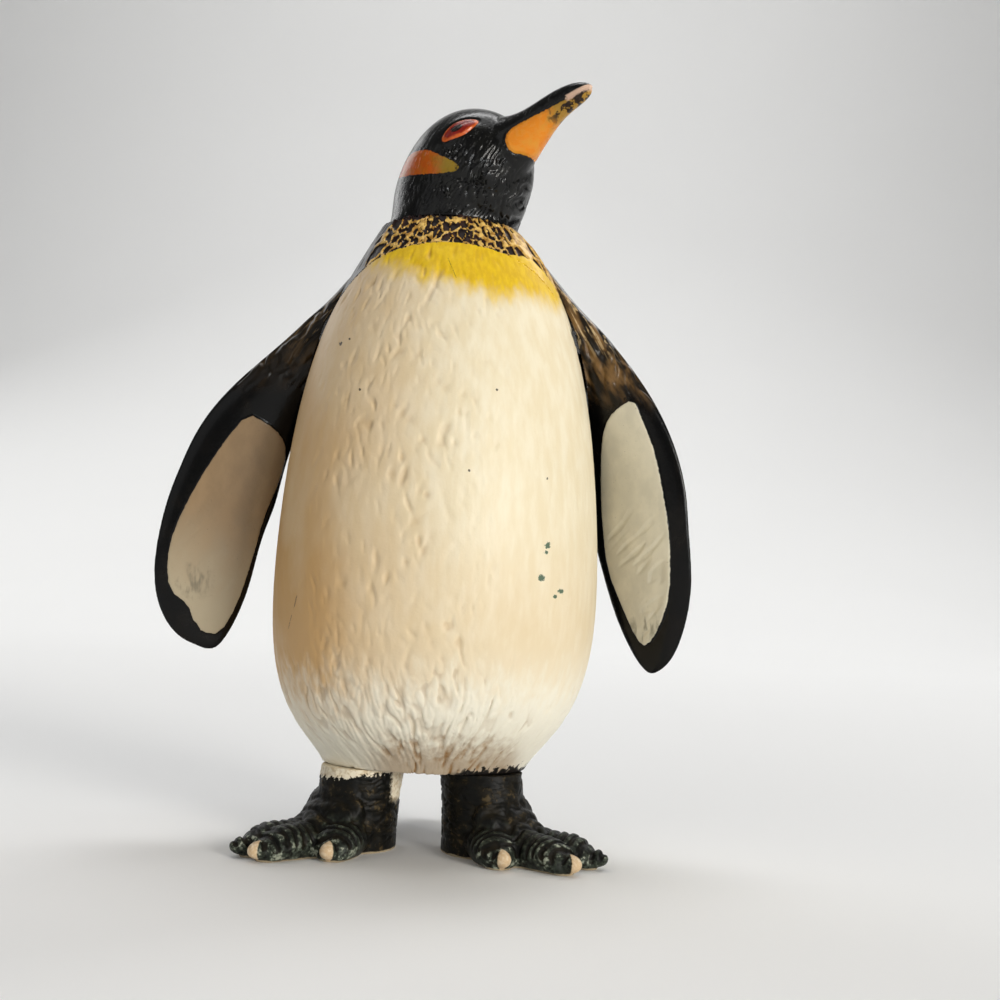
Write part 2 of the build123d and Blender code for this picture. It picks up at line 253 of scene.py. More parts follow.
class Finish:  # one material
    def __init__(self, name):
        self.material = bpy.data.materials.new(name)
        self.material.use_nodes = True
        self.tree = self.material.node_tree
        self.shader = self.tree.nodes["Principled BSDF"]
        place = self.add("TexCoord", output="Object")
        self.place = self.add("VectorMath", {"operation": "SCALE"}, {0: place, "Scale": 1 / mm})
        self.x, self.y, self.z = [self.add("SeparateXYZ", {}, {0: self.place}, axis) for axis in "XYZ"]

    def add(self, kind, settings={}, values={}, output=0):
        node = self.tree.nodes.new("ShaderNode" + kind)
        for name, value in settings.items():
            setattr(node, name, value)
        for name, value in values.items():
            if isinstance(value, Wire):
                self.tree.links.new(value.socket, node.inputs[name])
            else:
                node.inputs[name].default_value = value
        return Wire(self, node.outputs[output])

    def step(self, value, low, high):  # soft edge from 0 to 1
        values = {0: value, 1: low, 2: high, 3: 0.0, 4: 1.0}
        return self.add("MapRange", {"interpolation_type": "SMOOTHSTEP"}, values)

    def noise(self, scale, detail, upright=1.0):  # upright below 1 draws the pattern out in height
        spread = self.add("VectorMath", {"operation": "MULTIPLY"}, {0: self.place, 1: (1, 1, upright)})
        values = {"Vector": spread, "Scale": scale, "Detail": detail, "Roughness": 0.55}
        return self.add("TexNoise", {}, values)

    def lines(self, lean, wide, long, detail=2.0):  # noise drawn out along a lean from upright
        across = self.x * cos(lean) + self.z * sin(lean)
        along = self.z * cos(lean) - self.x * sin(lean)
        spread = self.add("CombineXYZ", {}, {0: across / wide, 1: self.y / wide, 2: along / long})
        return self.add("TexNoise", {}, {"Vector": spread, "Scale": 1.0, "Detail": detail})

    def near(self, x, z):  # distance from a line that runs from front to back
        flat = self.add("VectorMath", {"operation": "MULTIPLY"}, {0: self.place, 1: (1, 0, 1)})
        return self.add("VectorMath", {"operation": "DISTANCE"}, {0: flat, 1: (x, 0, z)}, "Value")

    def largest(self, first, second):
        return self.add("Math", {"operation": "MAXIMUM"}, {0: first, 1: second})

    def spots(self, places, wobble):  # small blots at a few places: x, z, size
        found = None
        for x, z, size in places:
            blot = self.step(self.near(x, z) + wobble * (2.2 * size), size * 2.1, size * 1.8)
            found = blot if found is None else self.largest(found, blot)
        return found

    def scratch(self, start, end, wide, wobble):  # thin line between two places: x, z
        dx, dz = end[0] - start[0], end[1] - start[1]
        part = ((self.x - start[0]) * dx + (self.z - start[1]) * dz) / (dx * dx + dz * dz)
        part = self.add("MapRange", {}, {0: part, 1: 0.0, 2: 1.0, 3: 0.0, 4: 1.0})
        off = self.add("CombineXYZ", {}, {0: self.x - start[0] - part * dx, 2: self.z - start[1] - part * dz})
        off = self.add("VectorMath", {"operation": "LENGTH"}, {0: off}, "Value")
        return self.step(off + wobble * (2 * wide), wide * 2.0, wide * 1.2)

    def read(self, name):
        return self.add("Attribute", {"attribute_name": name}, {}, "Fac")

    def blend(self, mask, under, over):
        under, over = [c if isinstance(c, Wire) else (*c, 1.0) for c in (under, over)]
        return self.add("Mix", {"data_type": "RGBA"}, {0: mask, 6: under, 7: over}, 2)

    def apply(self, colour, rough, height=None, depth=0.05, **fixed):
        for name, value in (("Base Color", colour), ("Roughness", rough)):
            self.tree.links.new(value.socket, self.shader.inputs[name])
        for name, value in fixed.items():
            self.shader.inputs[name.replace("_", " ")].default_value = value
        if height:
            bump = self.add("Bump", {}, {"Strength": 1.0, "Distance": depth * mm, "Height": height})
            self.tree.links.new(bump.socket, self.shader.inputs["Normal"])
        return self.material


# both shells of the body

def onTail(co):
    return co.y > figure["tailFrom"] and co.z < figure["tailTop"]


def outsideBody(co, normal):
    away = co - figure["middle"]
    return normal.dot(away) > figure["outward"] * away.length or onTail(co)


def turnOnBody(co):  # 0 in the middle of the front, growing to the figure's left
    return atan2(co.x - figure["axis"].x, figure["axis"].y - co.y)


def roundBody(co):  # mm round the body from the middle of its front, wandering a little
    u = turnOnBody(co) * figure["bodyRadius"]
    return u + sum(size * grain(u, co.z, pattern) for size, pattern in figure["wander"])


def sunk(depth, gap):  # nothing is cut on the seam itself
    return (figure["skin"] + depth) * ease(*figure["seamCalm"], gap)


def isInner(v):
    return not outsideBody(v.co / mm, v.normal)


def offSeam(v):
    return seamGap(v.co / mm) > figure["seamKeep"]


def shellOf(node, name, look, shape):
    piece = skinOf(node, name, look)
    snapSeam(piece, node)
    thin(piece, isInner, look["keep"])
    carve(piece, node, shape)
    thin(piece, offSeam, min(1.0, figure["mostTriangles"] / triangles(piece)))
    return piece


# belly

bellyLook = {
    "face": 0.155, "stretch": 2.3, "soften": 2, "keep": 0.64,
    "busyLeft": (-14, -7), "busyRight": (13, 4), "busyLeast": 0.15,
    "busyPatches": (5, 7, 21.0), "patchEdge": (-0.3, 0.25), "patchLeast": 0.35,
    "dents": (0.8, 1.7, 14.0), "dentLean": (0.3, -0.4), "dentMore": 0.08, "dentDepth": 0.38,
    "hollows": (1.1, 2.3, 24.0), "hollowLean": (-0.25, 0.3), "hollowMore": 0.05, "hollowDepth": 0.42,
    "streaks": (0.45, 5.0, 8.0), "streakDepth": 0.025,
    "tufts": (1.25, 3.2, 0.5), "tuftWide": 0.32, "tuftDepth": 0.21,
    "smallTufts": (1.25 / 1.9, 3.2 / 1.7, 1.5), "smallWide": 0.28, "smallShare": 0.4,
    "tuftPatches": (1.9, 2.8, 31.0), "tuftEdge": (-0.25, 0.3), "tuftLeast": 0.15,
    "tuftZ": (27.0, 17.0), "tuftHem": (10.0, 15.0), "hemLeast": 0.35, "tuftSide": (17, 8), "sideLeast": 0.5,
    "pits": ((-2.8, 51.5), (0.1, 36.1)), "pitDepth": 0.12, "pitWide": 0.3,
    "plainSeam": 0.9, "farFromSeam": 9.0,
    "bibX": 7.8, "bibZ": 65.7, "bibCurve": 0.0194,                # lowest at bibX, rising to both sides
    "whiteZ": (26.0, 17.0), "bandLow": (18.0, 25.0), "bandHigh": (42.0, 28.0),
    "tanAndShadeX": (8.0, -16.0), "tanAndShadeZ": (12.0, 24.0), "washAndDentShadeZ": (14.0, 30.0), "lowWashAndShadeZ": (27.0, 20.0),
    "stainZ": (18.5, 13.5), "stainLeft": (-6.5, -1.0), "stainRight": (14.5, 11.0),
    "blackSpecks": ((-7.1, 53.5, 0.15), (8.5, 54.0, 0.16), (5.9, 44.4, 0.15), (14.7, 44.4, 0.14),
                    (-10.2, 59.6, 0.26), (-9.1, 60.0, 0.18)),
    "greenSpecks": ((15.1, 36.8, 0.36), (14.9, 36.0, 0.22), (14.5, 33.1, 0.42), (16.9, 31.7, 0.36),
                    (16.2, 31.1, 0.26)),
    "scratches": (((-13.2, 29.8), (-13.5, 28.4), 0.13), ((-13.8, 27.5), (-14.2, 26.0), 0.11),
                  ((1.95, 70.2), (3.06, 67.65), 0.08)),
    "darkTop": (66.0, 63.0), "darkX": (8.0, 12.0), "darkHigh": (64.0, 58.0), "darkLow": (40.0, 46.0),
    "legAt": (8.74, -1.98, 9.0), "legReach": (7.4, 6.2), "spikeZ": (12.2, 11.9),
    "tones": {
        "creamShade": (0.80, 0.69, 0.47), "cream": (0.86, 0.775, 0.58), "white": (0.88, 0.84, 0.71),
        "tanAndShade": (0.59, 0.36, 0.145), "yellowShade": (0.69, 0.42, 0.002), "yellow": (0.80, 0.53, 0.004),
        "washAndDentShade": (0.50, 0.33, 0.16), "lowWashAndShade": (0.42, 0.29, 0.16), "stain": (0.31, 0.165, 0.055),
        "blackSpeck": (0.03, 0.02, 0.012), "greenSpeck": (0.014, 0.085, 0.048),
        "scratch": (0.05, 0.032, 0.018), "dark": (0.012, 0.010, 0.008),
    },
}


def slanted(u, z, lean):  # the two directions of a pattern that leans
    return u + lean[0] * z, z + lean[1] * u


def bellyShape(co, normal):
    look = bellyLook
    if not outsideBody(co, normal):
        return 0.0, {"relief": 0.0, "seamGap": look["farFromSeam"]}
    gap, u, z = seamGap(co), roundBody(co), co.z
    busy = atLeast(look["busyLeast"], ease(*look["busyLeft"], co.x) * ease(*look["busyRight"], co.x))
    busy *= atLeast(look["patchLeast"], ease(*look["patchEdge"], grain(u, z, look["busyPatches"])))
    dent = max(0.0, grain(*slanted(u, z, look["dentLean"]), look["dents"]) + look["dentMore"]) ** 2
    hollow = max(0.0, grain(*slanted(u, z, look["hollowLean"]), look["hollows"]) + look["hollowMore"]) ** 2
    streak = 0.5 - 0.5 * grain(u, z, look["streaks"])
    depth = busy * (look["dentDepth"] * dent + look["hollowDepth"] * hollow) + look["streakDepth"] * streak
    low = ease(*look["tuftZ"], z) * atLeast(look["sideLeast"], ease(*look["tuftSide"], co.x))
    low *= atLeast(look["hemLeast"], ease(*look["tuftHem"], z))
    tuft = furrow(grain(u, z, look["tufts"]), look["tuftWide"])
    tuft *= atLeast(look["tuftLeast"], ease(*look["tuftEdge"], grain(u, z, look["tuftPatches"])))
    small = furrow(grain(u, z, look["smallTufts"]), look["smallWide"])
    depth += low * look["tuftDepth"] * (tuft + look["smallShare"] * small)
    for px, pz in look["pits"]:
        depth += look["pitDepth"] * exp(-(hypot(co.x - px, z - pz) / look["pitWide"]) ** 2)
    depth *= ease(0.0, look["plainSeam"], gap)
    return sunk(depth, gap), {"relief": depth, "seamGap": gap}


def creamAndBib(f):  # shared with the strip of the back that has belly paint on it
    look, tones = bellyLook, bellyLook["tones"]
    streak = f.noise(0.8, 4.0, 0.25)
    broad = f.noise(0.13, 3.0, 0.6)
    strands = f.z + 11.0 * (streak - 0.5)                         # height, ragged along the strokes
    cream = f.blend(f.step(streak, 0.3, 0.75), tones["creamShade"], tones["cream"])
    cream = f.blend(f.step(strands, *look["whiteZ"]) * 0.85, cream, tones["white"])
    # tan towards the figure's right side: partly a tan wash, partly painted shade that darkens the side
    # turned away from the light; a faint tan band also crosses the lower middle
    band = f.step(strands, *look["bandLow"]) * f.step(f.z, *look["bandHigh"])
    tanAndShade = f.step(f.x, *look["tanAndShadeX"]) * f.step(strands, *look["tanAndShadeZ"]) * 0.95 + band * 0.25
    colour = f.blend(tanAndShade * atLeast(0.68, f.step(broad, 0.3, 0.7)), cream, tones["tanAndShade"])
    fall = f.x - look["bibX"]
    ragged = 5.0 * (f.noise(0.45, 3.0, 0.25) - 0.5) + 1.4 * (f.noise(1.6, 2.0, 0.2) - 0.5)
    bib = f.step(f.z - look["bibZ"] - look["bibCurve"] * fall * fall + ragged, -1.6, 2.2)
    yellow = f.blend(f.step(f.noise(1.6, 2.0, 0.2), 0.3, 0.7), tones["yellowShade"], tones["yellow"])
    return streak, broad, f.blend(bib, colour, yellow)


def bellyPaint():
    f = Finish("bellyPaint")
    look, tones = bellyLook, bellyLook["tones"]
    relief, gap = f.read("relief"), f.read("seamGap")
    streak, broad, colour = creamAndBib(f)
    grit = f.noise(3.0, 3.0)
    # darker tan in the carved dents: partly a tan wash, partly painted shade in the dents
    washAndDentShade = f.step(relief, 0.06, 0.22) * atLeast(0.3, f.step(broad, 0.38, 0.66))
    colour = f.blend(washAndDentShade * f.step(f.z, *look["washAndDentShadeZ"]) * 0.4, colour, tones["washAndDentShade"])
    # darker tan in the grooves of the low tufts: partly a tan wash, partly painted shade in the grooves
    lowWashAndShade = f.step(relief, 0.09, 0.20) * f.step(f.z, *look["lowWashAndShadeZ"])
    lowWashAndShade = lowWashAndShade * atLeast(0.35, f.step(broad, 0.36, 0.6))
    colour = f.blend(lowWashAndShade * 0.34, colour, tones["lowWashAndShade"])
    stain = f.step(f.z + 5.5 * f.lines(0.0, 0.8, 3.5), *look["stainZ"])
    stain = stain * f.step(f.x, *look["stainLeft"]) * f.step(f.x, *look["stainRight"])
    colour = f.blend(stain * atLeast(0.6, f.step(relief, 0.03, 0.2)), colour, tones["stain"])
    colour = f.blend(f.spots(look["blackSpecks"], grit) * 0.9, colour, tones["blackSpeck"])
    colour = f.blend(f.spots(look["greenSpecks"], grit) * 0.9, colour, tones["greenSpeck"])
    broken = f.step(grit, 0.40, 0.56) * 0.75
    for start, end, wide in look["scratches"]:
        colour = f.blend(f.scratch(start, end, wide, grit) * broken, colour, tones["scratch"])
    wider = f.step(f.x, *look["darkX"]) * f.step(f.z, *look["darkHigh"]) * f.step(f.z, *look["darkLow"])
    border = gap + 1.5 * (f.noise(1.0, 4.0, 0.7) - 0.5) - (0.28 + 0.45 * wider)
    dark = f.step(border, 0.0, -0.1) * f.step(f.z, *look["darkTop"])
    leg = f.add("VectorMath", {"operation": "DISTANCE"}, {0: f.place, 1: look["legAt"]}, "Value")
    spikes = f.step(f.z + 3.2 * f.lines(0.0, 0.6, 2.5), *look["spikeZ"])
    dark = f.largest(dark, f.step(leg, *look["legReach"]) * spikes)
    colour = f.blend(dark, colour, tones["dark"])
    rough = 0.42 + 0.16 * streak
    return f.apply(colour, rough, 0.5 * streak + 0.5 * grit, 0.04, Specular_IOR_Level=0.42)


belly = shellOf("belly_shell", "belly", bellyLook, bellyShape)
finishPiece(belly, "belly_shell", bellyPaint())


# back, collar and tail

backLook = {
    "face": 0.16, "stretch": 2.0, "soften": 2, "keep": 0.64,
    "strokes": (0.85, 4.2, 2.0), "strokeDepth": 0.15,
    "dents": (0.85 / 1.15, 4.2 / 1.35, 14.0), "dentEdge": (0.10, 0.48), "dentDepth": 0.13,
    "patches": (9, 7, 21.0), "patchMean": 0.6, "patchVary": 0.7, "patchLeast": 0.2, "plainSeam": 0.5,
    "collarLow": 69.0, "collarFull": 71.0, "collarDrop": 5.0, "dropTurn": (0.9, 1.5),
    "collarRight": (-1.2, -0.8), "collarLeft": (1.9, 1.35),       # turns round the body where it ends
    "cells": (1.5, 1.5, 4.4), "cellDepth": 0.30, "cellZ": 73.5, "slopeTurn": (0.5, 1.2),
    "stir": (0.7, 0.2), "cellAcross": (1.0, 1.3), "cellAlong": (0.85, 2.45),  # in front, on the slopes
    "stirAcross": (1.2, 1.1, 31.0), "stirAlong": (1.2, 1.1, 37.0),
    "rims": (2.2, 2.2, 41.0), "rimWide": 0.07, "rimVary": 0.09, "rimSoft": 0.09,
    "stripX": (7.5, 13.0), "stripEnd": (7.5, 8.5), "stripZ": (62.5, 66.5), "stripWide": 2.8,
    "stripEdge": (1.5, 1.5, 51.0), "stripVary": 0.5, "stripSoft": 0.5,
    "vanes": (1.1, 9.0, 61.0), "vaneWide": 0.3, "vaneDepth": 0.16, "vaneY": (14.5, 16.0),
    "goldTop": (76.5, 76.2),
    "tones": {
        "black": (0.004, 0.004, 0.004), "brown": (0.010, 0.008, 0.006), "brush": (0.058, 0.062, 0.070),
        "goldShade": (0.40, 0.20, 0.030), "gold": (0.78, 0.51, 0.14),
        "pit": (0.007, 0.003, 0.003), "pitRed": (0.028, 0.008, 0.005),
    },
}


def collarCells(u, z, turn):  # how much a place belongs to the collar, and 1 in a cell, 0 on its rim
    look = backLook
    lowest = look["collarLow"] - look["collarDrop"] * ease(*look["dropTurn"], turn)
    collar = ease(lowest, look["collarFull"], z) * ease(*look["collarRight"], turn)
    collar *= ease(*look["collarLeft"], turn)
    slope = ease(*look["slopeTurn"], abs(turn))
    stir = mixed(*look["stir"], slope)
    across = u + stir * grain(u, z, look["stirAcross"])
    along = z - look["cellZ"] + stir * grain(u, z, look["stirAlong"])
    across, along = across / mixed(*look["cellAcross"], slope), along / mixed(*look["cellAlong"], slope)
    rim = look["rimWide"] + look["rimVary"] * grain(u, z, look["rims"])
    return collar, ease(rim, rim + look["rimSoft"], cellEdge(across, along, look["cells"]))


def backShape(co, normal):
    look, u, z, gap = backLook, roundBody(co), co.z, seamGap(co)
    collar, cells = collarCells(u, z, turnOnBody(co))
    reach = look["stripWide"] * ease(*look["stripX"], co.x)
    reach += look["stripVary"] * grain(u, z, look["stripEdge"])
    past = ease(*look["stripEnd"], co.x) * ease(*look["stripZ"], z)
    past *= ease(reach, reach - look["stripSoft"], gap)
    stroke = 0.5 - 0.5 * grain(u, z, look["strokes"])
    dent = ease(*look["dentEdge"], grain(u, z, look["dents"]))
    patchy = look["patchMean"] + look["patchVary"] * grain(u, z, look["patches"])
    patchy = min(max(patchy, look["patchLeast"]), 1.0)
    depth = patchy * (look["strokeDepth"] * stroke + look["dentDepth"] * dent)
    if onTail(co):
        vane = furrow(grain(co.x, co.y - z, look["vanes"]), look["vaneWide"])
        depth = look["vaneDepth"] * ease(*look["vaneY"], co.y) * vane
    depth = mixed(depth, look["cellDepth"] * cells, collar)
    outside = outsideBody(co, normal)
    depth *= (1 - past) * ease(0.0, look["plainSeam"], gap) if outside else 0.0
    named = {"relief": depth, "ridge": collar * (1 - cells), "collar": collar, "past": past}
    return sunk(depth, gap) if outside else 0.0, named


def backPaint():
    f = Finish("backPaint")
    tones = backLook["tones"]
    relief, ridge, collar, past = [f.read(n) for n in ("relief", "ridge", "collar", "past")]
    streak, broad, cream = creamAndBib(f)
    mottle = f.noise(1.3, 3.0)
    black = f.blend(f.step(broad, 0.4, 0.65), tones["black"], tones["brown"])
    brush = f.step(relief, 0.12, 0.03) * f.step(f.noise(1.5, 3.0, 0.16), 0.50, 0.68)
    colour = f.blend(brush * 0.45, black, tones["brush"])
    gold = f.blend(f.step(mottle, 0.36, 0.62), tones["goldShade"], tones["gold"])
    pit = f.blend(f.step(streak, 0.4, 0.7), tones["pit"], tones["pitRed"])
    top = f.step(f.z - 0.05 * f.x + 1.6 * (mottle - 0.5), *backLook["goldTop"])
    colour = f.blend(collar, colour, pit)
    colour = f.blend(f.step(ridge, 0.3, 0.65) * top, colour, gold)
    colour = f.blend(f.step(past, 0.35, 0.6), colour, cream)
    rough = 0.22 + 0.2 * streak + 0.15 * collar
    height = 0.7 * streak + 0.3 * f.noise(3.0, 2.0)
    gloss = {"Specular_IOR_Level": 0.2, "Coat_Weight": 0.1, "Coat_Roughness": 0.15}
    return f.apply(colour, rough, height, 0.045, **gloss)


back = shellOf("back_shell", "back", backLook, backShape)
finishPiece(back, "back_shell", backPaint())


# head and bill, in the turned head's own directions: forward, to the side, up from the neck

headLook = {
    "face": 0.15, "stretch": 1.0, "soften": 3,
    "wrinkles": (0.42, 2.4, 6.0), "wrinkleWide": 0.28, "wrinkleDepth": 0.23, "wrinkleLeast": 0.06,
    "wrinkleLean": radians(58), "sideLean": 0.5,
    "wavesAlong": (2, 2, 3.0), "waveAlong": 0.4, "wavesAcross": (1.6, 1.6, 9.0), "waveAcross": 0.5,
    "patches": (2.4, 2.4, 17.0), "patchEdge": (-0.25, 0.25), "patchLeast": 0.45,
    "calmEar": (0.6, -0.4), "calmEye": (-0.02, -0.25), "calmPlate": (0.1, -0.5),
    "throatUp": (9.5, 7.5), "throatBack": (0.5, 3.5), "throatLow": (0.0, 0.9), "throatFront": (11.0, 9.5),
    "plateGroove": 0.14, "plateRim": 0.16, "eyeGroove": 0.14, "eyeRim": 0.12,
    "eyeAt": Vector((5.9, 6.2, 10.65)), "eyeLong": 2.6, "eyeHigh": 1.45, "eyePinch": 0.3, "eyeNear": 4,
    "eyeLine": Vector((0.617, -0.577, 0.536)), "eyeUp": Vector((-0.678, -0.043, 0.734)),
    "earSide": 2.5, "plateFrom": 8, "noPatch": -3.0, "noEye": -1.0,
    "ear": rounded([(-5.2, 6.9), (-4.2, 8.2), (-1.5, 8.9), (1.8, 8.45), (3.2, 7.9), (4.3, 7.25), (5.2, 6.85),
                    (6.3, 6.05), (6.7, 5.6), (6.0, 4.95), (2.9, 5.0), (-3.0, 5.9)]),
    "plate": rounded([(10.6, 9.0), (10.8, 10.1), (11.7, 10.85), (13.5, 11.55), (15.6, 12.2), (17.1, 12.7),
                      (19.6, 13.4), (21.6, 14.3), (24, 14), (24, 5), (13.6, 5), (13.2, 7.3), (12.1, 7.65),
                      (11.0, 7.75)]),
    "cheekForward": ((6.5, 8.5), (13.5, 11.5)), "cheekUp": ((1.0, 3.0), (11.0, 9.0)), "cheekTurns": 110,
    "earFade": (2.6, 5.4), "earFront": (6.9, 6.0), "tipFrom": (14.8, 17.2), "wornFrom": 18.0,
    "chipFrom": (18.2, 18.6), "chipTo": (21.9, 21.5),
    "tones": {
        "black": (0.003, 0.003, 0.003), "blackWarm": (0.006, 0.006, 0.005),
        "ear": (0.46, 0.085, 0.005), "earBrown": (0.40, 0.11, 0.006), "earOlive": (0.24, 0.15, 0.010),
        "plate": (0.74, 0.23, 0.012), "plateLight": (0.70, 0.28, 0.025), "tip": (0.40, 0.22, 0.03),
        "worn": (0.02, 0.010, 0.005), "chip": (0.66, 0.45, 0.33),
        "eyeRim": (0.58, 0.11, 0.02), "eye": (0.22, 0.012, 0.006), "pupil": (0.015, 0.005, 0.004),
    },
}
faceForward = Vector((sin(figure["headTurn"]), -cos(figure["headTurn"])))
faceSide = Vector((cos(figure["headTurn"]), sin(figure["headTurn"])))


def inHead(co):
    flat = Vector((co.x, co.y)) - figure["axis"]
    return flat.dot(faceForward), flat.dot(faceSide), co.z - figure["neckZ"]


def cheek(co):  # where the bill runs into the face
    forward, side, up = inHead(co)
    weight = 1.0
    for value, ends in ((forward, headLook["cheekForward"]), (up, headLook["cheekUp"])):
        for low, high in ends:
            weight *= ease(low, high, value)
    return weight


def headShape(co, normal):
    look = headLook
    forward, side, up = inHead(co)
    ear = insideBy(forward, up, look["ear"]) if abs(side) > look["earSide"] else look["noPatch"]
    plate = insideBy(forward, up, look["plate"]) if forward > look["plateFrom"] else look["noPatch"]
    away = Vector((forward, abs(side), up)) - look["eyeAt"]
    a, b = away.dot(look["eyeLine"]) / look["eyeLong"], away.dot(look["eyeUp"]) / look["eyeHigh"]
    almond = hypot(a, b * (1 + look["eyePinch"] * a * a))
    eye = 1 - almond if away.length < look["eyeNear"] else look["noEye"]
    lean = look["wrinkleLean"]
    along = forward * cos(lean) + up * sin(lean)
    along += look["waveAlong"] * grain(forward, up, look["wavesAlong"])
    across = forward * sin(lean) - up * cos(lean) + look["sideLean"] * side
    across += look["waveAcross"] * grain(forward, up, look["wavesAcross"])
    wrinkle = furrow(grain(across, along, look["wrinkles"]), look["wrinkleWide"])
    throat = ease(*look["throatUp"], up) * ease(*look["throatBack"], forward)
    throat *= ease(*look["throatLow"], up) * ease(*look["throatFront"], forward)
    throat *= atLeast(look["patchLeast"], ease(*look["patchEdge"], grain(forward, up, look["patches"])))
    calm = ease(*look["calmEar"], ear) * ease(*look["calmEye"], eye) * ease(*look["calmPlate"], plate)
    depth = look["wrinkleDepth"] * wrinkle * atLeast(look["wrinkleLeast"], throat) * calm
    depth += look["plateGroove"] * exp(-(plate / look["plateRim"]) ** 2)
    depth += look["eyeGroove"] * exp(-(eye / look["eyeRim"]) ** 2)
    named = {"ear": ear, "plate": plate, "eye": eye, "eyeAlong": a, "eyeAbove": b, "reach": forward}
    return figure["skin"] + depth, named


def headPaint():
    f = Finish("headPaint")
    look, tones = headLook, headLook["tones"]
    ear, plate, reach = [f.read(n) for n in ("ear", "plate", "reach")]
    eye, eyeAlong, eyeAbove = [f.read(n) for n in ("eye", "eyeAlong", "eyeAbove")]
    mottle = f.noise(0.9, 4.0)
    fine = f.noise(2.6, 4.0)
    patchy = f.noise(1.2, 3.0)
    colour = f.blend(f.step(mottle, 0.4, 0.65), tones["black"], tones["blackWarm"])
    earTone = f.blend(f.step(mottle, 0.4, 0.7), tones["ear"], tones["earBrown"])
    earTone = f.blend(f.step(reach + 2.0 * (mottle - 0.5), *look["earFade"]), earTone, tones["earOlive"])
    earFront = f.step(reach + 3.4 * (fine - 0.5), *look["earFront"])
    colour = f.blend(f.step(ear + 0.4 * (fine - 0.5), 0.0, 0.1) * earFront, colour, earTone)
    plateTone = f.blend(f.step(mottle, 0.35, 0.7), tones["plate"], tones["plateLight"])
    tip = f.step(reach + 2.0 * (mottle - 0.5), *look["tipFrom"])
    plateTone = f.blend(tip, plateTone, tones["tip"])
    worn = tip * f.step(patchy + 0.03 * (reach - look["wornFrom"]), 0.50, 0.55)
    plateTone = f.blend(worn, plateTone, tones["worn"])
    colour = f.blend(f.step(plate + 0.25 * (fine - 0.5), -0.04, 0.06), colour, plateTone)
    chip = f.step(reach + 3.0 * (patchy - 0.5), *look["chipFrom"]) * f.step(reach, *look["chipTo"])
    chip = chip * f.step(plate, -0.5, -0.3) * f.step(plate + 0.8 * (patchy - 0.5), 0.35, 0.15)
    colour = f.blend(chip, colour, tones["chip"])
    iris = f.blend(f.step(eye + 0.5 * (mottle - 0.5), 0.10, 0.30), tones["eyeRim"], tones["eye"])
    spot = f.add("CombineXYZ", {}, {0: (eyeAlong + 0.12) * 1.5, 1: eyeAbove - 0.05})
    spot = f.add("VectorMath", {"operation": "LENGTH"}, {0: spot}, "Value")
    iris = f.blend(f.step(spot + 0.6 * (mottle - 0.5), 0.50, 0.38), iris, tones["pupil"])
    colour = f.blend(f.step(eye, -0.02, 0.04), colour, iris)
    scratch = f.step(f.lines(radians(-28), 0.35, 1.6, 3.0), 0.58, 0.66) * f.step(plate, 0.0, -0.3)
    rough = 0.14 + 0.16 * mottle + 0.06 * f.step(plate, -0.05, 0.1)
    height = 0.5 * fine + 0.5 * mottle + 0.5 * scratch
    gloss = {"Specular_IOR_Level": 0.22, "Coat_Weight": 0.12, "Coat_Roughness": 0.06}
    return f.apply(colour, rough, height, 0.05, **gloss)


head = skinOf("head", "headAndBill", headLook)
relax(head, cheek, headLook["cheekTurns"])
carve(head, "head", headShape)
finishPiece(head, "head", headPaint())


# flippers

